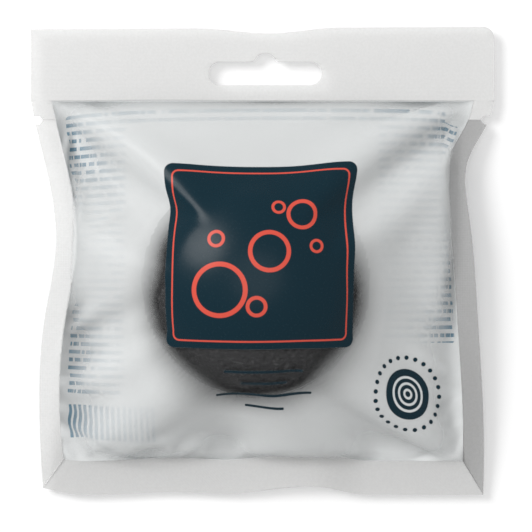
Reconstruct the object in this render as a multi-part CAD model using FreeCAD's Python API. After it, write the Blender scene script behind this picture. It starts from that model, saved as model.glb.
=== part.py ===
"""A konjac face sponge sealed in a flat film pouch with a hang header.

The pouch lies on its back: +X to the right, +Y towards the header, +Z up out of the front.
Two webs of film are welded together along the header, both sides and the foot.  Between the
welds each web is four skirts of film round a patch that lies on the sponge: the front skirts rise
to its crown in folds, and the back skirts lie down on the table.
"""

import FreeCAD, Part
import math
import os

# Film pouch, in millimetres
film = 0.15                # one web of film, measured square to the table
pouch_width = 131.0        # across the header
pouch_height = 132.5       # from the foot to the top edge
top_tilt = 0.7             # how far the top edge's left end lies below its right end
top_dip = 1.5              # how far the top edge dips above the hang slot
top_dip_x = 1.8
top_dip_reach = 20.0
top_corner = 3.0           # radius of the top right corner
header_seal = 21.0         # height of the welded header
side_seal = 5.8            # width of the side welds
bottom_seal = 9.6          # height of the foot weld
tear_drop = 5.4            # from the header weld down to the tear line

# How the full pouch draws its edges in, and how far the welds stand off the table
left_tear_inset = 1.1      # at the tear line
right_tear_inset = 1.5
left_waist = 7.4           # where the left edge is drawn in most
left_waist_drop = 41.25    # below the header weld, as every drop here
left_flank = 4.2           # where it eases out again
left_flank_drop = 61.25
right_waist = 7.7
right_waist_drop = 17.25
right_hip = 7.3            # the end of the straighter stretch below the right waist
right_hip_drop = 33.25
right_flank = 4.9
right_flank_drop = 61.05
left_shoulder = 2.6
left_foot_taper = 3.4
right_foot_taper = 3.0
foot_shoulder = 19.0       # height above the foot where the sides run straight
foot_hump = 2.5            # how far the foot edge draws up beside its middle
foot_hump_x = 14.0
foot_hump_left = 28.0      # its reach to the left
foot_hump_right = 16.0
foot_wave = 0.8            # a lower rise to the left of the hump
foot_wave_x = -26.0
foot_wave_reach = 22.0
corner_rise = 2.0          # how far the left foot corner curls up
corner_reach = 9.0
header_lift = 4.0
left_waist_lift = 11.0
right_waist_lift = 8.0
right_hip_lift = 10.5
flank_lift = 10.0
shoulder_lift = 6.0
foot_lift = 3.0
foot_hump_lift = 2.0       # more than foot_lift, at the hump
edge_stations = 24         # even steps along the foot and top edges

# Folds of the front web: at a share of the way along a side, how far the film lies above a straight
# line from the weld to the sponge.  The sides run on from each other: foot, right, header, left.
foot_left_fold = 1.5       # at the corners of the window
foot_right_fold = 2.7
header_right_fold = 0.5
header_left_fold = 0.0
foot_folds = [(0.13, 4.6), (0.39, -2.6), (0.6, 2.6), (0.79, -2.4), (0.93, 3.8)]
right_folds = [(0.28, -3.6), (0.79, 5.4), (0.93, -0.7)]
header_folds = [(0.13, 5.8), (0.5, 1.2), (0.88, 4.4)]
left_folds = [(0.08, -4.0), (0.43, 2.6), (0.71, -3.4)]
foot_brim = 4.0            # how far the front web bulges just inside each weld
right_brim = 4.5
header_brim = 4.5
left_brim = 4.0
brim_turn = 9              # how close to the weld it bulges: higher is closer
back_turn = 14             # how close to the weld the back web turns up from the table
skirt_columns = 16         # spans of a skirt's surface along the weld
skirt_rows = 6             # and from the weld to the sponge

# Hang slot and tear notches
slot_length = 32.0
slot_height = 6.6
slot_x = 0.8
slot_drop = 13.2           # from the top corners down to the slot's centre line
hump_radius = 3.3
hump_rise = 2.4            # above the slot's upper edge
neck_fillet = 1.0
notch_height = 2.5
notch_depth = 2.5
notch_point = 1.1          # length of the pointed end

# Sponge
sponge_diameter = 64.0
sponge_height = 33.0
crown_radius = 50.0
shoulder_radius = 18.0
sponge_x = -1.8
sponge_y = -6.2
film_clearance = 0.3       # between the sponge and the front film
base_margin = 3.0          # flat film past the sponge's flat base

# Lines that the pieces share
half_width = pouch_width / 2
top_y = pouch_height / 2
foot_y = -top_y
header_y = top_y - header_seal
tear_y = header_y - tear_drop
window_foot_y = foot_y + bottom_seal
shoulder_y = foot_y + foot_shoulder
left_waist_y = header_y - left_waist_drop
left_flank_y = header_y - left_flank_drop
right_waist_y = header_y - right_waist_drop
right_hip_y = header_y - right_hip_drop
right_flank_y = header_y - right_flank_drop
left_foot_x = -half_width + left_foot_taper
right_foot_x = half_width - right_foot_taper
up = FreeCAD.Vector(0, 0, 1)
sponge_axis = FreeCAD.Vector(sponge_x, sponge_y, 0)


def point(x, y, z):
    return FreeCAD.Vector(x, y, z)


def spline(points):
    curve = Part.BSplineCurve()
    curve.interpolate(points)
    return curve.toShape()


def swell(x, centre, left_reach, right_reach):
    """A smooth rise from 0 to 1 at centre, back to 0 at the reach on either side."""
    reach = left_reach if x < centre else right_reach
    away = min(1.0, abs(x - centre) / reach)
    return math.cos(away * math.pi / 2) ** 2


def foot_point(x, foot):
    """The foot edge at x, drawn up by the hump, the lower wave and the curled left corner."""
    hump = swell(x, foot_hump_x, foot_hump_left, foot_hump_right)
    wave = swell(x, foot_wave_x, foot_wave_reach, foot_wave_reach)
    corner = swell(x, left_foot_x, corner_reach, corner_reach)
    rise = foot_hump * hump + foot_wave * wave + corner_rise * corner
    return point(x, foot + rise, foot_lift + foot_hump_lift * hump)


def left_edge(inset, foot):
    """The left edge of the film, moved in by inset, from the header weld down to foot."""
    return spline([
        point(-half_width + inset, header_y, header_lift),
        point(-half_width + left_tear_inset + inset, tear_y, header_lift),
        point(-half_width + left_waist + inset, left_waist_y, left_waist_lift),
        point(-half_width + left_flank + inset, left_flank_y, flank_lift),
        point(-half_width + left_shoulder + inset, shoulder_y, shoulder_lift),
        foot_point(left_foot_x + inset, foot),
    ])


def right_edge(inset, foot):
    """The right edge of the film, moved in by inset, from foot up to the header weld."""
    return spline([
        foot_point(right_foot_x - inset, foot),
        point(right_foot_x - inset, shoulder_y, shoulder_lift),
        point(half_width - right_flank - inset, right_flank_y, flank_lift),
        point(half_width - right_hip - inset, right_hip_y, right_hip_lift),
        point(half_width - right_waist - inset, right_waist_y, right_waist_lift),
        point(half_width - right_tear_inset - inset, tear_y, header_lift),
        point(half_width - inset, header_y, header_lift),
    ])


def even_steps(start, end):
    step = (end - start) / edge_stations
    return [start + step * station for station in range(edge_stations + 1)]


def foot_edge(inset, foot):
    """The foot edge of the film, from left to right."""
    places = even_steps(left_foot_x + inset, right_foot_x - inset)
    return spline([foot_point(x, foot) for x in places])


def header_edge():
    """The lower edge of the header weld, from right to left."""
    right = point(half_width - side_seal, header_y, header_lift)
    left = point(-half_width + side_seal, header_y, header_lift)
    return Part.LineSegment(right, left).toShape()


# The rim where the two webs part, in turn round the window
rim = [
    foot_edge(side_seal, window_foot_y),
    right_edge(side_seal, window_foot_y),
    header_edge(),
    left_edge(side_seal, window_foot_y),
]
rim[3].reverse()
corners = [
    foot_point(left_foot_x + side_seal, window_foot_y),
    foot_point(right_foot_x - side_seal, window_foot_y),
    point(half_width - side_seal, header_y, header_lift),
    point(-half_width + side_seal, header_y, header_lift),
]
corner_folds = [foot_left_fold, foot_right_fold, header_right_fold, header_left_fold]
side_folds = [foot_folds, right_folds, header_folds, left_folds]
side_brims = [foot_brim, right_brim, header_brim, left_brim]


def corner_angles():
    """The directions from the sponge's axis to the window's corners, rising round the window."""
    angles = []
    for corner in corners:
        angle = math.atan2(corner.y - sponge_y, corner.x - sponge_x)
        while angles and angle < angles[-1]:
            angle += 2 * math.pi
        angles.append(angle)
    angles.append(angles[0] + 2 * math.pi)
    return angles


sectors = corner_angles()


def polar(radius, angle, height):
    return sponge_axis + point(radius * math.cos(angle), radius * math.sin(angle), height)


def ring_arc(radius, height, start, end):
    middle = (start + end) / 2
    return Part.Arc(polar(radius, start, height), polar(radius, middle, height),
                    polar(radius, end, height)).toShape()


# The sponge's outline: a shallow crown, round shoulders, and a base rounded up to the widest ring
sponge_radius = sponge_diameter / 2
sponge_foot = film
shoulder_ring = sponge_radius - shoulder_radius
centre_spacing = crown_radius - shoulder_radius
crown_centre = sponge_foot + sponge_height - crown_radius
shoulder_centre = crown_centre + math.sqrt(centre_spacing ** 2 - shoulder_ring ** 2)
crown_slope = math.asin(shoulder_ring / centre_spacing)
base_round = shoulder_centre - sponge_foot
base_radius = sponge_radius - base_round


def crown_point(slope, stand_off):
    reach = crown_radius + stand_off
    return point(reach * math.sin(slope), 0, crown_centre + reach * math.cos(slope))


def shoulder_point(slope, stand_off):
    reach = shoulder_radius + stand_off
    return point(shoulder_ring + reach * math.sin(slope), 0, shoulder_centre + reach * math.cos(slope))


def crown_profile(end_slope, stand_off):
    """The crown and shoulder arcs in the XZ plane, from the axis out to end_slope."""
    crown = Part.Arc(crown_point(0, stand_off), crown_point(crown_slope / 2, stand_off),
                     crown_point(crown_slope, stand_off))
    shoulder = Part.Arc(shoulder_point(crown_slope, stand_off),
                        shoulder_point((crown_slope + end_slope) / 2, stand_off),
                        shoulder_point(end_slope, stand_off))
    return [crown.toShape(), shoulder.toShape()]


def make_sponge():
    edge = math.pi / 2
    widest = shoulder_point(edge, 0)
    base_middle = point(sponge_radius - base_round * (1 - math.cos(edge / 2)), 0,
                        shoulder_centre - base_round * math.sin(edge / 2))
    base_end = point(base_radius, 0, sponge_foot)
    base_centre = point(0, 0, sponge_foot)
    outline = crown_profile(edge, 0)
    outline.append(Part.Arc(widest, base_middle, base_end).toShape())
    outline.append(Part.LineSegment(base_end, base_centre).toShape())
    outline.append(Part.LineSegment(base_centre, crown_point(0, 0)).toShape())
    half = Part.Face(Part.Wire(outline))
    body = half.revolve(point(0, 0, 0), up, 360)
    body.translate(sponge_axis)
    return body


def film_web(faces, edges):
    """A solid web of film on the given under faces, with a wall along each of its free edges."""
    rise = up * film
    walls = [edge.extrude(rise) for edge in edges]
    upper = [face.translated(rise) for face in faces]
    shell = Part.makeShell(faces + upper + walls)
    shell.sewShape()
    web = Part.makeSolid(shell)
    if web.Volume < 0:
        web.reverse()
    return web


def even_knots(knots, spans):
    return [knots[0] + (knots[-1] - knots[0]) * span / spans for span in range(1, spans)]


def pole_places(knots, repeats, degree):
    """The shares of the way along a spline, from 0 to 1, that its poles stand for."""
    row = []
    for knot, times in zip(knots, repeats):
        row += [knot] * times
    places = [sum(row[pole + 1:pole + 1 + degree]) / degree for pole in range(len(row) - degree - 1)]
    return [(place - places[0]) / (places[-1] - places[0]) for place in places]


def skirt(outer, inner, rise):
    """A skirt of film from the rim in to a ring, lifted off its straight lines by rise."""
    surface = Part.makeRuledSurface(outer, inner).Surface
    surface.increaseDegree(surface.UDegree, 3)
    for knot in even_knots(surface.getUKnots(), skirt_columns):
        surface.insertUKnot(knot, 1, 1e-7)
    for knot in even_knots(surface.getVKnots(), skirt_rows):
        surface.insertVKnot(knot, 1, 1e-7)
    rows = pole_places(surface.getVKnots(), surface.getVMultiplicities(), surface.VDegree)
    for column in range(1, surface.NbUPoles + 1):
        rim_pole = surface.getPole(column, 1)
        for row, inward in enumerate(rows, 1):
            pole = surface.getPole(column, row)
            surface.setPole(column, row, pole + up * rise(rim_pole, 1 - inward))
    return surface.toShape()


def crest(outward, turn):
    """A rise from 0 at the sponge to 1 and back to 0 at the weld, nearer the weld for a higher turn."""
    peak = turn / (turn + 1)
    return outward ** turn * (1 - outward) / (peak ** turn * (1 - peak))


def fold_height(share, folds):
    """The height of a row of folds, eased from each crest or dip to the next."""
    for (start, low), (end, high) in zip(folds, folds[1:]):
        if share <= end:
            ease = (1 - math.cos(math.pi * (share - start) / (end - start))) / 2
            return low + (high - low) * ease
    return folds[-1][1]


def front_rise(side):
    """How the front web lies above its straight lines along one side of the window."""
    start = corners[side]
    along = corners[(side + 1) % len(corners)] - start
    first_fold = (0, corner_folds[side])
    last_fold = (1, corner_folds[(side + 1) % len(corners)])
    folds = [first_fold] + side_folds[side] + [last_fold]

    def rise(rim_pole, outward):
        share = (rim_pole - start).dot(along) / along.dot(along)
        share = min(1.0, max(0.0, share))
        brim = side_brims[side] * math.sin(math.pi * share) ** 2
        return fold_height(share, folds) * crest(outward, 1) + brim * crest(outward, brim_turn)

    return rise


def back_rise(rim_pole, outward):
    """How the back web lies below its straight lines, down on the table."""
    return rim_pole.z * (outward ** back_turn - outward)


def leaving_slope(reach, height):
    """The slope of the straight line from the rim that just touches the sponge's shoulder."""
    run = reach - shoulder_ring
    drop = shoulder_centre - height
    touch = math.acos((shoulder_radius + film_clearance) / math.hypot(run, drop))
    return math.pi / 2 - touch + math.atan2(drop, run)


def make_front():
    """The front web: four skirts up to a round patch that follows the sponge's crown."""
    slope = max(
        leaving_slope(sponge_x + half_width - left_waist - side_seal, left_waist_lift),
        leaving_slope(half_width - right_hip - side_seal - sponge_x, right_hip_lift),
        leaving_slope(sponge_y - window_foot_y - foot_hump, foot_lift + foot_hump_lift),
        leaving_slope(header_y - sponge_y, header_lift),
    )
    patch = shoulder_point(slope, film_clearance)
    faces = []
    for side, edge in enumerate(rim):
        start = sectors[side]
        end = sectors[side + 1]
        faces.append(skirt(edge, ring_arc(patch.x, patch.z, start, end), front_rise(side)))
        for arc in crown_profile(slope, film_clearance):
            arc.rotate(point(0, 0, 0), up, math.degrees(start))
            arc.translate(sponge_axis)
            faces.append(arc.revolve(sponge_axis, up, math.degrees(end - start)))
    return film_web(faces, rim)


def make_back():
    """The back web: four skirts down to the flat round that the pouch rests on."""
    edges = [edge.translated(up * -film) for edge in rim]
    radius = base_radius + base_margin
    arcs = [ring_arc(radius, 0, sectors[side], sectors[side + 1]) for side in range(len(rim))]
    faces = [skirt(edge, arc, back_rise) for edge, arc in zip(edges, arcs)]
    faces.append(Part.Face(Part.Wire(arcs)))
    return film_web(faces, edges)


def make_weld(inner, outer):
    """A weld band: both webs fused, twice the film, between an inner and an outer edge."""
    band = Part.makeRuledSurface(inner, outer)
    band.translate(up * -film)
    return band.extrude(up * (2 * film))


def upright(outline):
    """A flat outline at table level drawn up through the whole pouch."""
    return Part.Face(outline).extrude(up * (sponge_height * 2))


def slot_cutter():
    """The hang slot: a round-ended slot with a hump in the middle of its upper edge."""
    half = slot_height / 2
    run = slot_length / 2 - half
    hump_y = half + hump_rise - hump_radius
    neck_y = half + neck_fillet - hump_y
    neck_x = math.sqrt((hump_radius + neck_fillet) ** 2 - neck_y ** 2)
    share = hump_radius / (hump_radius + neck_fillet)
    blend = point(neck_x * share, hump_y + neck_y * share, 0)
    blend_angle = math.atan2(neck_y, neck_x)
    fillet_turn = (math.pi + blend_angle + 1.5 * math.pi) / 2
    fillet_middle = point(neck_x + neck_fillet * math.cos(fillet_turn),
                          half + neck_fillet + neck_fillet * math.sin(fillet_turn), 0)

    def mirrored(place):
        return point(-place.x, place.y, 0)

    neck = point(neck_x, half, 0)
    end = point(run, half, 0)
    low_end = point(run, -half, 0)
    tip = point(run + half, 0, 0)
    edges = [
        Part.Arc(mirrored(blend), point(0, hump_y + hump_radius, 0), blend),
        Part.Arc(blend, fillet_middle, neck),
        Part.LineSegment(neck, end),
        Part.Arc(end, tip, low_end),
        Part.LineSegment(low_end, mirrored(low_end)),
        Part.Arc(mirrored(low_end), mirrored(tip), mirrored(end)),
        Part.LineSegment(mirrored(end), mirrored(neck)),
        Part.Arc(mirrored(neck), mirrored(fillet_middle), mirrored(blend)),
    ]
    outline = Part.Wire([edge.toShape() for edge in edges])
    outline.translate(point(slot_x, top_y - slot_drop, 0))
    return upright(outline)


def notch_cutter(edge, side):
    """A tear notch cut into the film's edge on one side, -1 for left and 1 for right."""
    near = edge.Curve.parameter(point(side * half_width, tear_y, header_lift))
    edge_x = edge.Curve.value(near).x
    tip = edge_x - side * notch_depth
    neck = tip + side * notch_point
    outside = side * (half_width + notch_depth)
    half = notch_height / 2
    outline = Part.makePolygon([
        point(outside, tear_y + half, 0),
        point(neck, tear_y + half, 0),
        point(tip, tear_y, 0),
        point(neck, tear_y - half, 0),
        point(outside, tear_y - half, 0),
        point(outside, tear_y + half, 0),
    ])
    return upright(outline)


def header_plate():
    """The flat header weld above the window."""
    level = header_lift - film
    top = []
    for x in even_steps(half_width, -half_width):
        tilt = top_tilt * (half_width - x) / pouch_width
        dip = top_dip * swell(x, top_dip_x, top_dip_reach, top_dip_reach)
        top.append(point(x, top_y - tilt - dip, level))
    left = point(-half_width, header_y, level)
    right = point(half_width, header_y, level)
    outline = Part.Wire([
        Part.LineSegment(left, right).toShape(),
        Part.LineSegment(right, top[0]).toShape(),
        spline(top),
        Part.LineSegment(top[-1], left).toShape(),
    ])
    plate = Part.Face(outline).extrude(up * (2 * film))
    corner_middle = top[0] + up * film
    corner = [edge for edge in plate.Edges if edge.CenterOfMass.isEqual(corner_middle, film / 2)]
    return plate.makeFillet(top_corner, corner)


def half_space(above):
    """A block holding everything above or below the tear line."""
    low_y = tear_y if above else foot_y * 2
    depth = top_y * 2 if above else tear_y - foot_y * 2
    return Part.makeBox(pouch_width * 2, depth, sponge_height * 4,
                        point(-pouch_width, low_y, -sponge_height))


header_side = half_space(True)
pouch_side = half_space(False)

outer_left = left_edge(0, foot_y)
outer_right = right_edge(0, foot_y)
left_weld = make_weld(left_edge(side_seal, window_foot_y), outer_left)
right_weld = make_weld(rim[1], outer_right)
foot_weld = make_weld(rim[0], foot_edge(0, foot_y))
front = make_front()
back = make_back()
notches = notch_cutter(outer_left, -1).fuse(notch_cutter(outer_right, 1))

header = header_plate().fuse([left_weld.common(header_side), right_weld.common(header_side)])
header = header.removeSplitter().cut(slot_cutter()).cut(notches)

pieces = {
    "front_panel": front.common(pouch_side),
    "back_panel": back.common(pouch_side),
    "left_seal": left_weld.common(pouch_side).cut(notches),
    "right_seal": right_weld.common(pouch_side).cut(notches),
    "bottom_seal": foot_weld,
    "header_seal": header,
    "tear_strip_front": front.common(header_side),
    "tear_strip_back": back.common(header_side),
    "konjac_sponge": make_sponge(),
}

os.makedirs("parts", exist_ok=True)
for name, shape in pieces.items():
    solids = shape.Solids
    print(name, len(solids), "solid, valid" if shape.isValid() else "solid, NOT valid",
          round(shape.Volume, 2), "mm3", shape.BoundBox)
    solids[0].exportStep("parts/" + name + ".step")
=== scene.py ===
# %% [markdown]
# # A konjac sponge sealed in its film pouch
#
# The object is a dark domed face sponge between two webs of frosted film. The webs are welded
# together along the header, both sides and the foot, and the full pouch lies on its back. The CAD
# model gives the sizes, the weld outlines and what moves. This lesson dresses it: first the camera,
# then the film as a simulated sheet, the knurled welds, the porous sponge, and last the finishes.

import math

import bmesh
import bpy
import numpy as np
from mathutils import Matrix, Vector
from mathutils.bvhtree import BVHTree


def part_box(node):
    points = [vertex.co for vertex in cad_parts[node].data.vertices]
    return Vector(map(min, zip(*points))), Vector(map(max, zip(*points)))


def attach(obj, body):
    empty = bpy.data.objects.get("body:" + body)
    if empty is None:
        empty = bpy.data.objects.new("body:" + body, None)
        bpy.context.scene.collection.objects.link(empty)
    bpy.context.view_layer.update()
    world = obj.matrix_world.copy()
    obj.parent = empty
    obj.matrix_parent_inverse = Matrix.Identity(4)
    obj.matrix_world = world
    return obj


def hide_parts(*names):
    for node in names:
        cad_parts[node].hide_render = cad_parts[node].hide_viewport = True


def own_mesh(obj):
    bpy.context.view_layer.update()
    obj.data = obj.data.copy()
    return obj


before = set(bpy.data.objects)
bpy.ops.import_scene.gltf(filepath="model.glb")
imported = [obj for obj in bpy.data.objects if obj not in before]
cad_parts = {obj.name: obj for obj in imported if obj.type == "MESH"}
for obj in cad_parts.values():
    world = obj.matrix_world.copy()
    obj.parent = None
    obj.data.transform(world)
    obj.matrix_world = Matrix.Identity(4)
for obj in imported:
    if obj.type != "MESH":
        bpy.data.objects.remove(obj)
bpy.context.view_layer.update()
MM = 0.001

# %% [markdown]
# ## The camera
#
# The pouch is photographed from straight above. The header's hang slot is the standard 32 mm one, so
# a pixel is 0.283 mm, and that fixes how much of the table the square picture takes in. A long lens
# from over a metre away keeps the tall sponge from looking swollen, as it does in the photograph.

# %% Camera straight above the pouch
picture_pixels = 532
pixel = 0.283 * MM
outline_middle = (262.5, 261.0)       # the pixel that the middle of the pouch falls on
camera_height = 1.1
weld_level = 4 * MM                   # where the picture's scale holds

camera_data = bpy.data.cameras.new("camera")
camera_data.sensor_width = 36
camera_data.lens = 36 * (camera_height - weld_level) / (picture_pixels * pixel)
camera = bpy.data.objects.new("camera", camera_data)
camera.location = (
    (picture_pixels / 2 - outline_middle[0]) * pixel,
    (outline_middle[1] - picture_pixels / 2) * pixel,
    camera_height,
)
bpy.context.collection.objects.link(camera)
bpy.context.scene.camera = camera
print("lens:", round(camera_data.lens), "mm")

# %% [markdown]
# ## The table and the light
#
# The picture is bright and shadowless apart from a soft shade on the right. One broad lamp stands
# high on the left, a weaker one hangs over the camera and puts the soft sheen on the flat top, and
# a dim sky fills in. The table is white in the picture: it is a pale matt floor that glows a little
# where it is seen, by the camera or in a reflection, so the object gets no extra light from it and
# the shadow stays.

# %% Helpers for node trees
def put(tree, node, socket, value):
    """Fills an input: by a link from another node's output, or by a plain value."""
    target = node.inputs[socket]
    if isinstance(value, bpy.types.NodeSocket):
        tree.links.new(value, target)
    else:
        target.default_value = value


def node(tree, kind, inputs, output=0, **settings):
    """Adds a node with its settings and inputs, and gives one of its outputs."""
    made = tree.nodes.new(kind)
    for name, value in settings.items():
        setattr(made, name, value)
    for socket, value in inputs.items():
        put(tree, made, socket, value)
    return made.outputs[output]


def maths(tree, operation, *values):
    return node(tree, "ShaderNodeMath", dict(enumerate(values)), operation=operation)


def vectors(tree, operation, *values):
    output = "Value" if operation in ("LENGTH", "DOT_PRODUCT") else "Vector"
    return node(tree, "ShaderNodeVectorMath", dict(enumerate(values)), output, operation=operation)


def spread(tree, value, low, high, start, end):
    """Maps low..high smoothly to start..end."""
    inputs = {"Value": value, "From Min": low, "From Max": high, "To Min": start, "To Max": end}
    return node(tree, "ShaderNodeMapRange", inputs, interpolation_type="SMOOTHSTEP")


def blend_colours(tree, share, first, second):
    """The first colour where the share is 0 and the second where it is 1."""
    inputs = {"Factor_Float": share, "A_Color": first, "B_Color": second}
    made = tree.nodes.new("ShaderNodeMix")
    made.data_type = "RGBA"
    places = {socket.identifier: place for place, socket in enumerate(made.inputs)}
    for name, value in inputs.items():
        put(tree, made, places[name], value)
    return next(socket for socket in made.outputs if socket.identifier == "Result_Color")


def new_material(name):
    material = bpy.data.materials.new(name)
    material.use_nodes = True
    return material, material.node_tree, material.node_tree.nodes["Principled BSDF"]


def seen_directly(tree):
    """1 for rays from the camera, a mirror or through glass, 0 for light that falls on the object."""
    path = tree.nodes.new("ShaderNodeLightPath")
    seen = maths(tree, "MAXIMUM", path.outputs["Is Camera Ray"], path.outputs["Is Glossy Ray"])
    return maths(tree, "MAXIMUM", seen, path.outputs["Is Transmission Ray"])


# %% Table, sky and lamps
table_size = 6.0
table_gap = 0.1 * MM
table_white = 0.8
table_glow = 0.22
sky_light = 0.47
lamps = (                             # name, place, size and power
    ("window lamp", Vector((-0.7, 0.5, 0.95)), 0.6, 10.5),
    ("top lamp", Vector((0.0, 0.1, 1.6)), 0.9, 4.0),
)

table_mesh = bpy.data.meshes.new("table")
half = table_size / 2
table_corners = [(-half, -half), (half, -half), (half, half), (-half, half)]
table_mesh.from_pydata([(x, y, -table_gap) for x, y in table_corners], [], [(0, 1, 2, 3)])
table = bpy.data.objects.new("table", table_mesh)
bpy.context.collection.objects.link(table)

table_finish, tree, shader = new_material("pale table")
put(tree, shader, "Base Color", (table_white, table_white, table_white, 1))
put(tree, shader, "Roughness", 1.0)
put(tree, shader, "Specular IOR Level", 0.0)
put(tree, shader, "Emission Color", (1, 1, 1, 1))
put(tree, shader, "Emission Strength", maths(tree, "MULTIPLY", seen_directly(tree), table_glow))
table_mesh.materials.append(table_finish)

world = bpy.data.worlds.new("studio")
bpy.context.scene.world = world
world.use_nodes = True
tree = world.node_tree
sky = tree.nodes["Background"]
put(tree, sky, "Color", (1, 1, 1, 1))
put(tree, sky, "Strength", spread(tree, seen_directly(tree), 0, 1, sky_light, 1.0))

for name, place, size, power in lamps:
    lamp_data = bpy.data.lights.new(name, "AREA")
    lamp_data.shape = "DISK"
    lamp_data.size = size
    lamp_data.energy = power
    lamp = bpy.data.objects.new(name, lamp_data)
    lamp.location = place
    lamp.rotation_mode = "QUATERNION"
    lamp.rotation_quaternion = (-place).to_track_quat("-Z", "Y")
    bpy.context.collection.objects.link(lamp)
    print(name, power, "W")
bpy.context.scene.view_settings.view_transform = "Standard"

# %% [markdown]
# ## The rim of the window
#
# Each web of film is free inside the welds. Its edge, the rim, is read from the CAD model: the front
# web's outermost points at a row of levels, between the four corners of the window. The points are
# then spread evenly along the edge, because that is how the film was laid before it was welded.

# %% Read the rim from the CAD mesh
def cad_triangles(*names):
    """The points and triangles of some CAD nodes as arrays."""
    points = np.empty((0, 3))
    triangles = np.empty((0, 3), int)
    for name in names:
        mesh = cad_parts[name].data
        mesh.calc_loop_triangles()
        own_points = np.empty(len(mesh.vertices) * 3)
        own_triangles = np.empty(len(mesh.loop_triangles) * 3, int)
        mesh.vertices.foreach_get("co", own_points)
        mesh.loop_triangles.foreach_get("vertices", own_triangles)
        triangles = np.vstack([triangles, own_triangles.reshape(-1, 3) + len(points)])
        points = np.vstack([points, own_points.reshape(-1, 3)])
    return points, triangles


def crossings(points, edges, axis, level):
    """The places where a mesh's edges cross a level of one axis."""
    start = points[edges[:, 0]]
    end = points[edges[:, 1]]
    hit = (start[:, axis] - level) * (end[:, axis] - level) < 0
    start = start[hit]
    end = end[hit]
    share = (level - start[:, axis]) / (end[:, axis] - start[:, axis])
    return start + (end - start) * share[:, None]


def even_points(line, count):
    """Count + 1 points at even distances along a line of points."""
    steps = np.linalg.norm(np.diff(line, axis=0), axis=1)
    along = np.concatenate([[0], np.cumsum(steps)])
    places = np.linspace(0, along[-1], count + 1)
    return np.stack([np.interp(places, along, line[:, axis]) for axis in range(3)], axis=1)


def line_length(line):
    return np.linalg.norm(np.diff(line, axis=0), axis=1).sum()


rim_levels = 80
front_points, front_triangles = cad_triangles("front_panel", "tear_strip_front")
front_edges = np.vstack([front_triangles[:, pair] for pair in ([0, 1], [1, 2], [2, 0])])
across, upward = front_points[:, 0], front_points[:, 1]
foot_left = front_points[np.argmax(-across - upward)]
foot_right = front_points[np.argmax(across - upward)]
head_left = front_points[np.argmax(upward - across)]
head_right = front_points[np.argmax(upward + across)]


def side_line(foot, head, pick):
    """One side of the rim, from its foot corner to its header corner."""
    line = [foot]
    for level in np.linspace(foot[1], head[1], rim_levels)[1:-1]:
        found = crossings(front_points, front_edges, 1, level)
        line.append(found[pick(found[:, 0])])
    return np.array(line + [head])


def foot_line():
    line = [foot_left]
    for level in np.linspace(foot_left[0], foot_right[0], rim_levels)[1:-1]:
        found = crossings(front_points, front_edges, 0, level)
        line.append(found[np.argmin(found[:, 1])])
    return np.array(line + [foot_right])


rim_left = side_line(foot_left, head_left, np.argmin)
rim_right = side_line(foot_right, head_right, np.argmax)
rim_foot = foot_line()
rim_head = np.array([head_left, head_right])
rim_lengths = [line_length(line) / MM for line in (rim_left, rim_right, rim_foot, rim_head)]
print("rim left, right, foot, head in mm:", np.round(rim_lengths, 1))

# %% [markdown]
# ## The sponge's outline
#
# The film leans on the sponge, so the simulation needs the sponge's surface as a rule: how high its
# dome stands, and how low its belly hangs, at each distance from its axis. Both are read from the
# CAD sponge, which is round.

# %% Dome and belly of the sponge
sponge_low, sponge_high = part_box("konjac_sponge")
sponge_axis = np.array(((sponge_low + sponge_high) / 2)[:2])
sponge_radius = (sponge_high.x - sponge_low.x) / 2
sponge_points, sponge_triangles = cad_triangles("konjac_sponge")
profile_steps = 240


def sponge_profile(pick, beyond):
    """Height against distance from the axis, with a level far away past the sponge's edge."""
    reach = np.hypot(*(sponge_points[:, :2] - sponge_axis).T)
    widest = sponge_points[np.argmax(reach), 2]
    kept = pick(sponge_points[:, 2], widest)
    order = np.argsort(reach[kept])
    steps = np.linspace(0, sponge_radius, profile_steps)
    levels = np.interp(steps, reach[kept][order], sponge_points[kept, 2][order])
    slopes = np.gradient(levels, steps)
    steps = np.append(steps, sponge_radius + MM)
    return steps, np.append(levels, beyond), np.append(slopes, 0)


dome = sponge_profile(np.greater_equal, -1.0)
belly = sponge_profile(np.less_equal, 1.0)
print("dome", round(dome[1][0] / MM, 1), "mm high, edge at", round(dome[1][-2] / MM, 1), "mm")

# %% [markdown]
# ## The film as a simulated sheet
#
# A web of film hardly stretches but bends easily, and its folds come from that: a flat sheet whose
# edge is drawn in over a dome has to crease towards its corners. Blender's Cloth could do this, but
# against a hard dome it shakes and tears through, so this cell relaxes the sheet by itself, with
# numpy. Every pair of neighbours in the grid is pulled back to the distance it had in the flat
# sheet, bends are eased a little, and points inside the sponge or the table are pushed out. It
# starts on a coarse grid, where large folds form quickly, and doubles the grid three times.

# %% The flat cut of a web
def flat_web(columns, rows, web_length, rim_slack):
    """The sheet as it was cut, and the rim that it is welded to."""
    share_x, share_y = np.meshgrid(np.linspace(0, 1, columns + 1), np.linspace(0, 1, rows + 1))
    head = line_length(rim_head)
    foot = line_length(rim_foot) * rim_slack
    side = (line_length(rim_left) + line_length(rim_right)) / 2 * rim_slack
    width = head - (head - foot) * (1 - share_y) ** 3
    length = web_length - (web_length - side) * np.abs(2 * share_x - 1) ** 3
    middle = (head_left[1] + foot_left[1]) / 2
    flat = np.stack([(share_x - 0.5) * width, middle + (share_y - 0.5) * length, 0 * width], axis=-1)
    rim = flat.copy()
    rim[0] = even_points(rim_foot, columns)
    rim[-1] = even_points(rim_head, columns)
    rim[:, 0] = even_points(rim_left, rows)
    rim[:, -1] = even_points(rim_right, rows)
    return flat, rim


# %% The sheet solver
film = 0.15 * MM
film_clearance = 0.35 * MM            # between the front web and the sponge
shear_hold = 0.3                      # how firmly a grid square keeps its right angles
speed_kept = 0.9
draw_share = 0.6                      # the part of a level's rounds in which the rim is drawn in
tiny = 1e-9


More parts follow.
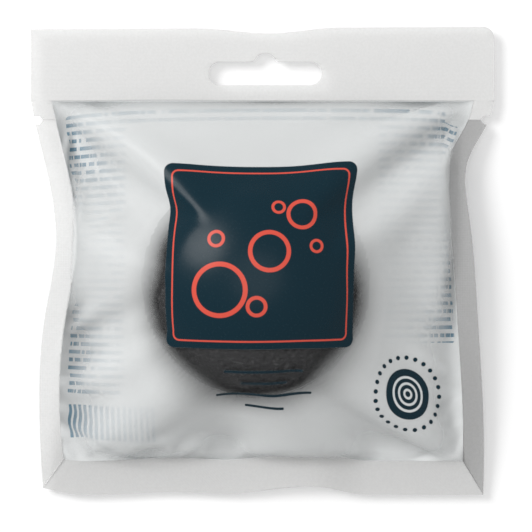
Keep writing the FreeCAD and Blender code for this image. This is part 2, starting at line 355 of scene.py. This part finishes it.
def push_from_sponge(points, profile, side, clearance):
    """Moves points out of the sponge, square to its surface. Side is 1 above it and -1 below."""
    steps, levels, slopes = profile
    offset = points[..., :2] - sponge_axis
    reach = np.hypot(offset[..., 0], offset[..., 1])
    level = np.interp(reach, steps, levels)
    slope = np.interp(reach, steps, slopes)
    depth = np.maximum(side * (level - points[..., 2]) + clearance, 0)
    push = depth / (1 + slope ** 2)
    points[..., 2] += side * push
    points[..., :2] -= offset * (side * slope * push / np.maximum(reach, tiny))[..., None]


def rest_on_sponge(points):
    push_from_sponge(points, dome, 1, film_clearance)


def lie_under_sponge(points):
    push_from_sponge(points, belly, -1, film)
    np.maximum(points[..., 2], 0, out=points[..., 2])


def neighbour_pairs(rows, columns):
    """Slices for the threads both ways and both diagonals, in sets that share no point."""
    pairs = []
    for start in (0, 1):
        pairs.append((np.s_[:, start:columns:2], np.s_[:, start + 1:columns + 1:2], 1.0))
        pairs.append((np.s_[start:rows:2, :], np.s_[start + 1:rows + 1:2, :], 1.0))
    for start in (0, 1):
        pairs.append((np.s_[start:rows:2, :-1], np.s_[start + 1:rows + 1:2, 1:], shear_hold))
        pairs.append((np.s_[start:rows:2, 1:], np.s_[start + 1:rows + 1:2, :-1], shear_hold))
    return pairs


def bend_triples(rows, columns):
    """Slices for three points in a row, both ways, in sets that share no point."""
    triples = []
    for start in range(3):
        last = start + (columns - 2 - start) // 3 * 3
        triples.append(tuple(np.s_[:, start + k:last + k + 1:3] for k in range(3)))
        last = start + (rows - 2 - start) // 3 * 3
        triples.append(tuple(np.s_[start + k:last + k + 1:3, :] for k in range(3)))
    return triples


def relax(points, flat, rim, keep_out, rounds, stiffness, fall, drawn):
    """Moves the sheet until it keeps its flat lengths between the rim and what it leans on."""
    rows = points.shape[0] - 1
    columns = points.shape[1] - 1
    free = np.zeros((rows + 1, columns + 1, 1))
    free[1:-1, 1:-1] = 1
    edge = free[..., 0] == 0
    pairs = neighbour_pairs(rows, columns)
    rests = [np.linalg.norm(flat[b] - flat[a], axis=-1, keepdims=True) for a, b, hold in pairs]
    triples = bend_triples(rows, columns)
    start = points.copy()
    speed = np.zeros_like(points)
    for turn in range(rounds):
        draw = 1.0 if drawn else min(1.0, (turn + 1) / (rounds * draw_share))
        before = points.copy()
        speed[..., 2] -= fall
        points = points + free * speed
        points[edge] = (start + (rim - start) * draw)[edge]
        for repeat in range(2):
            for (a, b, hold), rest in zip(pairs, rests):
                gap = points[b] - points[a]
                length = np.linalg.norm(gap, axis=-1, keepdims=True)
                weight = np.maximum(free[a] + free[b], tiny)
                step = gap * (hold * (length - rest) / (length * weight))
                points[a] += free[a] * step
                points[b] -= free[b] * step
            for a, m, b in triples:
                bend = (points[a] + points[b]) / 2 - points[m]
                points[m] += stiffness / 2 * free[m] * bend
                points[a] -= stiffness / 4 * free[a] * bend
                points[b] -= stiffness / 4 * free[b] * bend
            keep_out(points)
            points[edge] = (start + (rim - start) * draw)[edge]
        speed = (points - before) * speed_kept
    return points


def finer(points):
    """The same sheet with a grid of twice as many columns and rows."""
    rows, columns = points.shape[:2]
    fine = np.zeros((2 * rows - 1, 2 * columns - 1, 3))
    fine[::2, ::2] = points
    fine[1::2, ::2] = (points[1:] + points[:-1]) / 2
    fine[:, 1::2] = (fine[:, 2::2] + fine[:, :-2:2]) / 2
    return fine


# %% Drape both webs
coarse_columns = 17
coarse_rows = 16
level_rounds = (250, 250, 250, 150)
level_stiffness = (0.1, 0.13, 0.13, 0.05)
front_length = 121 * MM               # from header weld to foot weld, over the sponge
front_slack = 1.04                    # how much longer the film is than its welded edge
front_fall = 0.005 * MM
back_length = 107 * MM
back_slack = 1.02
back_fall = 0.02 * MM


def drape(start_level, rim_drop, keep_out, fall, web_length, rim_slack):
    """A web of film from its flat cut, drawn in over or under the sponge."""
    levels = len(level_rounds) - 0
    points = None
    for level in range(levels):
        doubling = 2 ** level
        flat, rim = flat_web(coarse_columns * doubling, coarse_rows * doubling, web_length, rim_slack)
        rim[..., 2] -= rim_drop
        drawn = points is not None
        if drawn:
            points = finer(points)
        else:
            points = flat + np.array([0, 0, start_level])
        points = relax(points, flat, rim, keep_out, level_rounds[level], level_stiffness[level],
                       fall / doubling, drawn)
    return points, flat


def stretch(web, flat):
    """How much longer the threads across the web are than in its flat cut, in the middle of the range."""
    now = np.linalg.norm(np.diff(web, axis=1), axis=-1)
    cut = np.linalg.norm(np.diff(flat, axis=1), axis=-1)
    return round(float(np.median(now / cut)), 3)


front_top = dome[1][0] + film_clearance
front_web, front_flat = drape(front_top, 0, rest_on_sponge, front_fall, front_length, front_slack)
back_web, back_flat = drape(0, film, lie_under_sponge, back_fall, back_length, back_slack)
print("grid", front_web.shape, "stretch", stretch(front_web, front_flat), stretch(back_web, back_flat))

# %% [markdown]
# ## From points to film
#
# The two grids become meshes with three things for the finish to read: a UV map that holds each
# point's place on the flat cut, so that the printing follows the film into its folds, the gap behind
# the front web, and how much of the hazy view through it the sponge fills. Frosted film scatters what
# lies a way behind it, so the sponge is sharp where the film lies on it and melts into a soft grey
# where the film leaves it. The finish paints that grey, and the sponge's shadow on the back web, into
# the film's colour as painted shade. The web is cut along the tear line, because the strip above it
# leaves with the header. Solidify then gives the film its 0.15 mm.

# %% What the front web veils, for its painted shade
haze_rays = 96
haze_spread = 0.65                    # how far a hazy ray leans out for each step down
shadow_lean = (0.0, 0.4)                # towards the window lamp, for the sponge's painted shadow behind the film
haze_steps = 18


def sponge_share(web):
    """The share of the hazy rays down through each point of the web that meet the sponge, painted as
    shade in the film's colour.
    """
    golden_turn = math.pi * (3 - math.sqrt(5))
    met = np.zeros(web.shape[:2])
    for ray in range(haze_rays):
        out = haze_spread * math.sqrt((ray + 0.5) / haze_rays)
        lean_x = shadow_lean[0] + out * math.cos(golden_turn * ray)
        lean_y = shadow_lean[1] + out * math.sin(golden_turn * ray)
        ray_step = np.array([lean_x, lean_y, -1])
        hit = np.zeros(web.shape[:2], bool)
        for depth in np.linspace(0, 1, haze_steps)[1:]:
            spot = web + ray_step * (depth * web[..., 2:])
            reach = np.hypot(*np.moveaxis(spot[..., :2] - sponge_axis, -1, 0))
            under_dome = spot[..., 2] < np.interp(reach, dome[0], dome[1])
            over_belly = spot[..., 2] > np.interp(reach, belly[0], belly[1])
            hit |= under_dome & over_belly
        met += hit
    return met / haze_rays


reach = np.hypot(*np.moveaxis(front_web[..., :2] - sponge_axis, -1, 0))
sponge_level = np.interp(reach, dome[0], dome[1])
front_gap = np.minimum(front_web[..., 2] - sponge_level, front_web[..., 2] - back_web[..., 2])
front_shade = sponge_share(front_web)
print("sponge fills", round(float(front_shade.mean()), 2), "of the view through the front web")

# %% Film pieces
tear_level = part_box("tear_strip_front")[0].y
sharp_turn = math.radians(40)


def plain_mesh(piece):
    """Applies a piece's modifiers and leaves a plain mesh."""
    graph = bpy.context.evaluated_depsgraph_get()
    mesh = bpy.data.meshes.new_from_object(piece.evaluated_get(graph))
    piece.modifiers.clear()
    piece.data = mesh
    return piece


def grid_faces(rows, columns):
    index = np.arange((rows + 1) * (columns + 1)).reshape(rows + 1, columns + 1)
    corners = [index[:-1, :-1], index[:-1, 1:], index[1:, 1:], index[1:, :-1]]
    return np.stack(corners, axis=-1).reshape(-1, 4)


def new_piece(name, points, faces):
    mesh = bpy.data.meshes.new(name)
    mesh.from_pydata(points.tolist(), [], faces.tolist())
    mesh.update()
    mesh.polygons.foreach_set("use_smooth", np.ones(len(faces), bool))
    piece = bpy.data.objects.new(name, mesh)
    bpy.context.collection.objects.link(piece)
    return piece


def film_piece(name, web, flat, values, outward, keep_above):
    """One side of the tear line of a web, solid. Outward is 1 for the front web and -1 for the back."""
    rows = web.shape[0] - 1
    columns = web.shape[1] - 1
    faces = grid_faces(rows, columns)
    if outward < 0:
        faces = faces[:, ::-1]
    piece = new_piece(name, web.reshape(-1, 3), faces)
    mesh = piece.data
    corner_points = np.empty(len(mesh.loops), int)
    mesh.loops.foreach_get("vertex_index", corner_points)
    cut = mesh.uv_layers.new(name="flat_cut")
    cut.data.foreach_set("uv", flat.reshape(-1, 3)[corner_points, :2].astype(np.float32).ravel())
    for label, value in values.items():
        held = mesh.attributes.new(label, "FLOAT", "POINT")
        held.data.foreach_set("value", value.astype(np.float32).ravel())
    shape = bmesh.new()
    shape.from_mesh(mesh)
    everything = shape.verts[:] + shape.edges[:] + shape.faces[:]
    bmesh.ops.bisect_plane(shape, geom=everything, plane_co=(0, tear_level, 0), plane_no=(0, 1, 0),
                           clear_inner=keep_above, clear_outer=not keep_above)
    shape.to_mesh(mesh)
    shape.free()
    solid = piece.modifiers.new("thickness", "SOLIDIFY")
    solid.thickness = film
    solid.offset = outward
    plain_mesh(piece)
    piece.data.set_sharp_from_angle(angle=sharp_turn)
    return piece


front_values = {"gap": front_gap, "shade": front_shade}
front_film = film_piece("front_film", front_web, front_flat, front_values, 1, False)
front_strip = film_piece("front_strip", front_web, front_flat, front_values, 1, True)
back_film = film_piece("back_film", back_web, back_flat, {}, -1, False)
back_strip = film_piece("back_strip", back_web, back_flat, {}, -1, True)
for piece in (front_film, front_strip, back_film, back_strip):
    print(piece.name, len(piece.data.polygons), "faces")

# %% [markdown]
# ## The welds
#
# A weld is both webs pressed together between hot knurled bars: a fine grid on the foot, crossed
# lines on the sides and close ribs on the header. The pattern repeats by a rule, so a Geometry
# Nodes tree raises it on a fine sheet. The sheet takes its height from the CAD weld below it, and a
# Boolean with that weld, drawn thicker, trims it to the true outline with the slot and the notches.

# %% The knurl tree
def node_group(name, sizes):
    """A Geometry Nodes tree with a mesh in and out and named inputs."""
    group = bpy.data.node_groups.new(name, "GeometryNodeTree")
    group.interface.new_socket("Geometry", in_out="INPUT", socket_type="NodeSocketGeometry")
    for label in sizes:
        group.interface.new_socket(label, in_out="INPUT", socket_type="NodeSocketFloat")
    group.interface.new_socket("Finish", in_out="INPUT", socket_type="NodeSocketMaterial")
    group.interface.new_socket("Geometry", in_out="OUTPUT", socket_type="NodeSocketGeometry")
    return group, group.nodes.new("NodeGroupInput").outputs


def close_group(group, shape, finish):
    """Ends a tree in Realize Instances and Set Material."""
    shape = node(group, "GeometryNodeRealizeInstances", {"Geometry": shape})
    shape = node(group, "GeometryNodeSetMaterial", {"Geometry": shape, "Material": finish})
    put(group, group.nodes.new("NodeGroupOutput"), "Geometry", shape)


def use_group(piece, group, values):
    """Puts a tree on a piece, with its inputs set by their identifiers."""
    modifier = piece.modifiers.new(group.name, "NODES")
    modifier.node_group = group
    for item in group.interface.items_tree:
        if item.in_out == "INPUT" and item.name in values:
            modifier[item.identifier] = values[item.name]


def knurl_group():
    """Waves along two crossing lines. Cross is 0 for ribs and 1 for a grid of dots."""
    group, inputs = node_group("knurl", ("Pitch", "Height", "Turn", "Cross"))
    place = node(group, "GeometryNodeInputPosition", {})
    turned = node(group, "ShaderNodeVectorRotate", {"Vector": place, "Angle": inputs["Turn"]},
                  rotation_type="Z_AXIS")
    axes = group.nodes.new("ShaderNodeSeparateXYZ")
    put(group, axes, "Vector", turned)
    turn_per_length = maths(group, "DIVIDE", 2 * math.pi, inputs["Pitch"])
    rib = maths(group, "COSINE", maths(group, "MULTIPLY", axes.outputs["Y"], turn_per_length))
    across = maths(group, "COSINE", maths(group, "MULTIPLY", axes.outputs["X"], turn_per_length))
    crossed = maths(group, "MULTIPLY_ADD", maths(group, "SUBTRACT", across, 1.0), inputs["Cross"], 1.0)
    wave = maths(group, "MULTIPLY", maths(group, "MULTIPLY", rib, crossed), inputs["Height"])
    raised = node(group, "ShaderNodeCombineXYZ", {"Z": wave})
    shape = node(group, "GeometryNodeSetPosition", {"Geometry": inputs["Geometry"], "Offset": raised})
    close_group(group, shape, inputs["Finish"])
    return group


knurl = knurl_group()
print("knurl tree:", len(knurl.nodes), "nodes")

# %% Weld pieces
weld_margin = 1.0 * MM
trim_height = 3.0 * MM


def trimming_solid(name):
    """A copy of a CAD weld, drawn thicker up and down, that keeps its outline."""
    points, triangles = cad_triangles(name)
    keys = np.round(points / (0.001 * MM)).astype(int)
    unique, first, index = np.unique(keys, axis=0, return_index=True, return_inverse=True)
    points = points[first]
    triangles = index.reshape(-1)[triangles]
    whole = (triangles[:, 0] != triangles[:, 1]) & (triangles[:, 1] != triangles[:, 2])
    triangles = triangles[whole & (triangles[:, 2] != triangles[:, 0])]
    a, b, c = (points[triangles[:, k]] for k in range(3))
    facing = np.cross(b - a, c - a)
    facing /= np.maximum(np.linalg.norm(facing, axis=1, keepdims=True), tiny ** 2)
    lift = np.zeros(len(points))
    lift[triangles[facing[:, 2] > 0.5].ravel()] = trim_height
    lift[triangles[facing[:, 2] < -0.5].ravel()] = -trim_height
    points[:, 2] += lift
    return new_piece(name + "_trim", points, triangles)


def weld_piece(name, node_name, step, pattern, finish):
    """A knurled sheet over a CAD weld, trimmed to its outline."""
    points, triangles = cad_triangles(node_name)
    ground = BVHTree.FromPolygons(points.tolist(), triangles.tolist())
    low = points.min(axis=0) - weld_margin
    high = points.max(axis=0) + weld_margin
    columns, rows = (int(math.ceil((high[k] - low[k]) / step[k])) for k in range(2))
    places_x, places_y = np.meshgrid(np.linspace(low[0], high[0], columns + 1),
                                     np.linspace(low[1], high[1], rows + 1))
    levels = []
    for x, y in zip(places_x.ravel(), places_y.ravel()):
        spot = ground.ray_cast(Vector((x, y, high[2] + trim_height)), Vector((0, 0, -1)))[0]
        if spot is None:
            spot = ground.find_nearest(Vector((x, y, (low[2] + high[2]) / 2)))[0]
        levels.append(spot.z - film)
    sheet = np.stack([places_x.ravel(), places_y.ravel(), np.array(levels)], axis=1)
    piece = new_piece(name, sheet, grid_faces(rows, columns))
    use_group(piece, knurl, {**pattern, "Finish": finish})
    solid = piece.modifiers.new("thickness", "SOLIDIFY")
    solid.thickness = 2 * film
    solid.offset = 0
    trim = trimming_solid(node_name)
    cut = piece.modifiers.new("trim", "BOOLEAN")
    cut.operation = "INTERSECT"
    cut.solver = "EXACT"
    cut.object = trim
    plain_mesh(piece)
    bpy.data.objects.remove(trim)
    piece.data.materials.clear()
    piece.data.materials.append(finish)
    piece.data.polygons.foreach_set("material_index", np.zeros(len(piece.data.polygons), int))
    piece.data.set_sharp_from_angle(angle=sharp_turn)
    print(name, len(piece.data.polygons), "faces")
    return piece


plain_weld = new_material("smooth weld")
foot_finish = new_material("knurled foot weld")
# The right weld's finish is a darker copy of the weld film: painted shade.
right_shaded_finish = new_material("knurled right weld in painted shade")
fine_step = (0.2 * MM, 0.2 * MM)
header_step = (1.0 * MM, 0.2 * MM)
dots = {"Pitch": 0.8 * MM, "Height": 0.022 * MM, "Turn": 0.0, "Cross": 1.0}
crossed_lines = {"Pitch": 0.95 * MM, "Height": 0.02 * MM, "Turn": math.radians(45), "Cross": 1.0}
ribs = {"Pitch": 1.2 * MM, "Height": 0.004 * MM, "Turn": 0.0, "Cross": 0.0}
left_weld = weld_piece("left_weld", "left_seal", fine_step, crossed_lines, plain_weld[0])
right_weld = weld_piece("right_weld", "right_seal", fine_step, crossed_lines, right_shaded_finish[0])
foot_weld = weld_piece("foot_weld", "bottom_seal", fine_step, dots, foot_finish[0])
header = weld_piece("header", "header_seal", header_step, ribs, plain_weld[0])

# %% [markdown]
# ## The sponge
#
# Konjac sponge is a firm gel full of fine open pores. An icosphere has even triangles and no poles
# crowded with slivers, so it is bent to the CAD sponge's outline, and a Geometry Nodes tree then
# sinks pores into it from a Voronoi pattern and adds the slow lumps of a moulded gel.

# %% Sponge piece
sponge_detail = 7


def sponge_outline():
    """Reach and height along the sponge's outline, from the top of the dome to the middle of its base."""
    reach = np.concatenate([dome[0][:-1], belly[0][-2::-1]])
    level = np.concatenate([dome[1][:-1], belly[1][-2::-1]])
    along = np.concatenate([[0], np.cumsum(np.hypot(np.diff(reach), np.diff(level)))])
    return reach, level, along / along[-1]


def bent_sphere(name):
    reach, level, along = sponge_outline()
    mesh = bpy.data.meshes.new(name)
    ball = bmesh.new()
    bmesh.ops.create_icosphere(ball, subdivisions=sponge_detail, radius=1)
    ball.to_mesh(mesh)
    ball.free()
    piece = bpy.data.objects.new(name, mesh)
    bpy.context.collection.objects.link(piece)
    points = np.empty(len(mesh.vertices) * 3)
    mesh.vertices.foreach_get("co", points)
    points = points.reshape(-1, 3)
    turn = np.arctan2(points[:, 1], points[:, 0])
    share = np.arccos(np.clip(points[:, 2], -1, 1)) / math.pi
    out = np.interp(share, along, reach)
    points = np.stack([sponge_axis[0] + out * np.cos(turn), sponge_axis[1] + out * np.sin(turn),
                       np.interp(share, along, level)], axis=1)
    mesh.vertices.foreach_set("co", points.ravel())
    mesh.polygons.foreach_set("use_smooth", np.ones(len(mesh.polygons), bool))
    mesh.update()
    return piece


def pore_group():
    """Pores from Voronoi cells, sunk along the surface's normal, and slow lumps."""
    group, inputs = node_group("pores", ("Pore size", "Pore depth", "Lump size", "Lump depth"))
    place = node(group, "GeometryNodeInputPosition", {})
    normal = node(group, "GeometryNodeInputNormal", {})
    pore_scale = maths(group, "DIVIDE", 1.0, inputs["Pore size"])
    lump_scale = maths(group, "DIVIDE", 1.0, inputs["Lump size"])
    cell = node(group, "ShaderNodeTexVoronoi", {"Vector": place, "Scale": pore_scale}, "Distance")
    pore = spread(group, cell, 0.1, 0.6, 1.0, 0.0)
    lump = node(group, "ShaderNodeTexNoise", {"Vector": place, "Scale": lump_scale})
    depth = maths(group, "ADD", maths(group, "MULTIPLY", pore, inputs["Pore depth"]),
                  maths(group, "MULTIPLY", lump, inputs["Lump depth"]))
    sunk = vectors(group, "SCALE", normal)
    put(group, sunk.node, "Scale", maths(group, "MULTIPLY", depth, -1.0))
    shape = node(group, "GeometryNodeSetPosition", {"Geometry": inputs["Geometry"], "Offset": sunk})
    close_group(group, shape, inputs["Finish"])
    return group


sponge_finish, sponge_tree, sponge_shader = new_material("charcoal konjac")
sponge = bent_sphere("sponge")
pore_sizes = {"Pore size": 1.6 * MM, "Pore depth": 0.5 * MM, "Lump size": 9 * MM, "Lump depth": 0.4 * MM}
use_group(sponge, pore_group(), {**pore_sizes, "Finish": sponge_finish})
plain_mesh(sponge)
print("sponge", len(sponge.data.polygons), "faces")

# %% [markdown]
# ## Finishes
#
# The welds are frosted film pressed clear: palest along the header and the left side, greyer along
# the knurled foot, and greyest on the right, where the grey is painted shade for a weld that leans away
# from the window lamp over its own shadow. The sponge is nearly black, with a little dust of pale
# fibre in its pores. Each finish has a fine grain, so that its gloss isn't dead even.

# %% Finish of the welds
grain_scale = 1500.0


def fine_grain(tree, scale):
    """A fine noise on Object coordinates."""
    place = node(tree, "ShaderNodeTexCoord", {}, "Object")
    return node(tree, "ShaderNodeTexNoise", {"Vector": place, "Scale": scale, "Detail": 3.0})


# The right weld's grey of 0.4 is painted shade for a weld tilted away from the window lamp over its own
# shadow.
for finish, pale in ((plain_weld, 0.79), (foot_finish, 0.66), (right_shaded_finish, 0.4)):
    tree, shader = finish[1:]
    grain = fine_grain(tree, grain_scale)
    put(tree, shader, "Roughness", spread(tree, grain, 0.3, 0.7, 0.38, 0.46))
    put(tree, shader, "Base Color", (pale, pale, pale * 0.993, 1))
    put(tree, shader, "Alpha", spread(tree, grain, 0.3, 0.7, 0.53, 0.56))

# %% Finish of the sponge
grain = fine_grain(sponge_tree, 900.0)
put(sponge_tree, sponge_shader, "Roughness", spread(sponge_tree, grain, 0.3, 0.7, 0.75, 0.95))
dust = spread(sponge_tree, grain, 0.5, 0.75, 0, 1)
charcoal = (0.012, 0.012, 0.013, 1)
fibre = (0.055, 0.055, 0.056, 1)
put(sponge_tree, sponge_shader, "Base Color", blend_colours(sponge_tree, dust, charcoal, fibre))

# %% [markdown]
# ## The printing
#
# The front web carries a navy panel with coral marks and a round navy badge, and fine blue rows show
# through from the back web. The designs here are plain stand-ins: bubble rings, rules, dots and bars.
# Each is a mask worked out from the flat cut, so it bends with the film and needs no picture.

# %% Masks on the flat cut
ink_edge = 0.12 * MM


def offset_from(tree, spot, middle):
    return vectors(tree, "SUBTRACT", spot, (middle[0], middle[1], 0))


def inside_box(tree, spot, middle, size, corner):
    """1 inside a box with rounded corners."""
    away = vectors(tree, "ABSOLUTE", offset_from(tree, spot, middle))
    past = vectors(tree, "SUBTRACT", away, (size[0] / 2 - corner, size[1] / 2 - corner, 0))
    past = vectors(tree, "LENGTH", vectors(tree, "MAXIMUM", past, (0, 0, 0)))
    return spread(tree, past, corner - ink_edge, corner + ink_edge, 1, 0)


def box_line(tree, spot, middle, size, corner, width):
    """1 on a line along the inside of a box with rounded corners."""
    outer = inside_box(tree, spot, middle, size, corner)
    inner_size = (size[0] - 2 * width, size[1] - 2 * width)
    inner = inside_box(tree, spot, middle, inner_size, corner - width)
    return maths(tree, "SUBTRACT", outer, inner)


def inside_ring(tree, spot, middle, radius, width):
    """1 on a ring, or on a disc where the radius is 0."""
    reach = vectors(tree, "LENGTH", offset_from(tree, spot, middle))
    off = maths(tree, "ABSOLUTE", maths(tree, "SUBTRACT", reach, radius))
    return spread(tree, off, width / 2 - ink_edge, width / 2 + ink_edge, 1, 0)


def dot_ring(tree, spot, middle, radius, count, size):
    """1 on dots at even turns around a centre."""
    away = offset_from(tree, spot, middle)
    axes = tree.nodes.new("ShaderNodeSeparateXYZ")
    put(tree, axes, 0, away)
    turn = maths(tree, "ARCTAN2", axes.outputs["Y"], axes.outputs["X"])
    share = maths(tree, "FRACT", maths(tree, "MULTIPLY", turn, count / (2 * math.pi)))
    along = maths(tree, "MULTIPLY", maths(tree, "SUBTRACT", share, 0.5), 2 * math.pi * radius / count)
    out = maths(tree, "SUBTRACT", vectors(tree, "LENGTH", away), radius)
    off = vectors(tree, "LENGTH", node(tree, "ShaderNodeCombineXYZ", {"X": along, "Y": out}))
    return spread(tree, off, size / 2 - ink_edge, size / 2 + ink_edge, 1, 0)


def broken_rows(tree, spot, middle, size, pitch, bar_length):
    """1 on rows of bars of uneven length, inside a box."""
    axes = tree.nodes.new("ShaderNodeSeparateXYZ")
    put(tree, axes, 0, spot)
    height = maths(tree, "DIVIDE", axes.outputs["Y"], pitch)
    off = maths(tree, "ABSOLUTE", maths(tree, "SUBTRACT", maths(tree, "FRACT", height), 0.5))
    row = spread(tree, off, 0.18, 0.3, 1, 0)
    along = maths(tree, "DIVIDE", axes.outputs["X"], bar_length)
    lookup = node(tree, "ShaderNodeCombineXYZ", {"X": along, "Y": maths(tree, "FLOOR", height)})
    chance = node(tree, "ShaderNodeTexNoise", {"Vector": lookup, "Scale": 2.7, "Detail": 2.0})
    bars = maths(tree, "MULTIPLY", row, spread(tree, chance, 0.4, 0.46, 0, 1))
    return maths(tree, "MULTIPLY", bars, inside_box(tree, spot, middle, size, pitch / 2))


def upright_bars(tree, spot, middle, size, pitch):
    """1 on even upright bars, inside a box."""
    axes = tree.nodes.new("ShaderNodeSeparateXYZ")
    put(tree, axes, 0, spot)
    along = maths(tree, "FRACT", maths(tree, "DIVIDE", axes.outputs["X"], pitch))
    off = maths(tree, "ABSOLUTE", maths(tree, "SUBTRACT", along, 0.5))
    bars = spread(tree, off, 0.25, 0.35, 1, 0)
    return maths(tree, "MULTIPLY", bars, inside_box(tree, spot, middle, size, pitch / 2))


def all_of(tree, masks):
    """The largest of some masks."""
    joined = masks[0]
    for mask in masks[1:]:
        joined = maths(tree, "MAXIMUM", joined, mask)
    return joined


# %% What is printed on the front web
panel_middle = (-0.2 * MM, 2.0 * MM)
panel_size = (53.5 * MM, 53 * MM)
badge_middle = (42.4 * MM, -38.6 * MM)
bubbles = (                           # place on the panel, radius and line width in mm
    (-11, -10, 7.0, 1.3),
    (2.5, 0.5, 5.2, 1.2),
    (11.5, 11, 3.8, 1.1),
    (-1, -14.5, 2.4, 1.0),
    (-12, 4, 2.0, 0.9),
    (5, 13, 1.6, 0.8),
    (15.5, 2, 1.6, 0.8),
)
rules = (                             # place below the panel and length in mm
    (-31.5, 22),
    (-35.8, 13),
    (-40.2, 27),
    (-44.6, 11),
)
rules_x = 0.6 * MM
rule_width = 0.9 * MM


def front_print(tree, spot):
    """Masks for the navy, coral and pale inks of the front web."""
    panel = inside_box(tree, spot, panel_middle, panel_size, 2.5 * MM)
    disc = inside_ring(tree, spot, badge_middle, 0, 14.4 * MM)
    ring = dot_ring(tree, spot, badge_middle, 10.4 * MM, 24, 1.3 * MM)
    lines = []
    for y, length in rules:
        size = (length * MM, rule_width)
        lines.append(inside_box(tree, spot, (rules_x, y * MM), size, rule_width / 2 - ink_edge))
    navy = all_of(tree, [panel, disc, ring] + lines)
    frame_size = (panel_size[0] - 4 * MM, panel_size[1] - 4 * MM)
    marks = [box_line(tree, spot, panel_middle, frame_size, 2 * MM, 0.5 * MM)]
    for x, y, radius, width in bubbles:
        place = (panel_middle[0] + x * MM, panel_middle[1] + y * MM)
        marks.append(inside_ring(tree, spot, place, radius * MM, width * MM))
    pale = [inside_ring(tree, spot, badge_middle, radius * MM, 0.7 * MM) for radius in (1.2, 3.0, 4.8)]
    return navy, all_of(tree, marks), all_of(tree, pale)


# %% What is printed on the back web
row_pitch = 2.3 * MM
word_length = 3.2 * MM
row_boxes = (                         # middle and size of each block of rows in mm
    ((-47.5, 2), (17, 82)),
    ((45, 8), (24, 64)),
    ((0, 41), (104, 5)),
)


def back_print(tree, spot):
    """Mask for the blue ink of the back web."""
    masks = []
    for middle, size in row_boxes:
        place = (middle[0] * MM, middle[1] * MM)
        box = (size[0] * MM, size[1] * MM)
        masks.append(broken_rows(tree, spot, place, box, row_pitch, word_length))
    masks.append(upright_bars(tree, spot, (-43 * MM, -47 * MM), (26 * MM, 10 * MM), 1.6 * MM))
    return all_of(tree, masks)


# %% [markdown]
# ## Frosted film
#
# The film is white and dull with a soft sheen. How much it covers follows the gap behind it: next to
# nothing where it lies on the sponge, and about half where the back web lies far below. Where the
# sponge fills the hazy view, the white is darkened to grey as painted shade for the blurred sponge and
# its shadow. Where the sponge half fills the view the film covers more, so this painted grey takes the
# place of the sponge's edge. Ink covers all.

# %% Finish of the film
film_white = (0.8, 0.815, 0.815, 1)
navy_ink = (0.0024, 0.0194, 0.0307, 1)
coral_ink = (0.68, 0.09, 0.061, 1)
pale_ink = (0.7, 0.72, 0.72, 1)
blue_ink = (0.06, 0.2, 0.3, 1)
film_sheen = 0.12
# painted shade: the grey that the film's white turns to where the sponge fills the hazy view
painted_sponge_shade = (0.17, 0.173, 0.173, 1)
clear_alpha = 0.015
milky_alpha = 0.55
milky_gap = 15 * MM
veil_alpha = 0.65                     # where the sponge half fills the view
back_alpha = 0.9


def film_base(name):
    """A frosted film, with its fine grain, and its place on the flat cut."""
    material, tree, shader = new_material(name)
    grain = fine_grain(tree, grain_scale)
    put(tree, shader, "Roughness", spread(tree, grain, 0.3, 0.7, 0.23, 0.28))
    put(tree, shader, "Specular IOR Level", film_sheen)
    spot = node(tree, "ShaderNodeUVMap", {}, uv_map="flat_cut")
    return material, tree, shader, spot


front_finish, tree, shader, spot = film_base("printed frosted film")
navy, coral, pale = front_print(tree, spot)
gap = node(tree, "ShaderNodeAttribute", {}, "Fac", attribute_name="gap")
shade = node(tree, "ShaderNodeAttribute", {}, "Fac", attribute_name="shade")
# Painted shade: the film's white darkens to grey by the share of the hazy view that the sponge fills.
colour = blend_colours(tree, shade, film_white, painted_sponge_shade)
colour = blend_colours(tree, navy, colour, navy_ink)
colour = blend_colours(tree, coral, colour, coral_ink)
put(tree, shader, "Base Color", blend_colours(tree, pale, colour, pale_ink))
milk = spread(tree, gap, 0, milky_gap, clear_alpha, milky_alpha)
half_filled = maths(tree, "MULTIPLY", shade, maths(tree, "SUBTRACT", 1.0, shade))
veil = maths(tree, "MULTIPLY", half_filled, 4 * veil_alpha)
unveiled = maths(tree, "MULTIPLY", maths(tree, "SUBTRACT", 1.0, milk), maths(tree, "SUBTRACT", 1.0, veil))
film_cover = maths(tree, "SUBTRACT", 1.0, unveiled)
put(tree, shader, "Alpha", maths(tree, "MAXIMUM", film_cover, maths(tree, "MULTIPLY", navy, 0.96)))

back_finish, tree, shader, spot = film_base("frosted film")
blue = back_print(tree, spot)
put(tree, shader, "Base Color", blend_colours(tree, blue, film_white, blue_ink))
put(tree, shader, "Alpha", spread(tree, blue, 0, 1, back_alpha, 0.9))

for piece in (front_film, front_strip):
    piece.data.materials.append(front_finish)
for piece in (back_film, back_strip):
    piece.data.materials.append(back_finish)
print("front finish", len(front_finish.node_tree.nodes), "nodes")

# %% [markdown]
# ## What moves with what
#
# The header and the strip above the tear line leave together.

# %% Ride and replace
for piece, replaced, slot in (
    (front_film, "front_panel", "frosted_film"),
    (back_film, "back_panel", "frosted_film"),
    (left_weld, "left_seal", "weld_band"),
    (right_weld, "right_seal", "weld_band"),
    (foot_weld, "bottom_seal", "weld_band"),
):
    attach(piece, "pouch")
    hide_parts(replaced)
    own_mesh(piece)
for piece, replaced, slot in (
    (header, "header_seal", "weld_band"),
    (front_strip, "tear_strip_front", "frosted_film"),
    (back_strip, "tear_strip_back", "frosted_film"),
):
    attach(piece, "tear_strip")
    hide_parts(replaced)
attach(sponge, "sponge")
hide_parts("konjac_sponge")
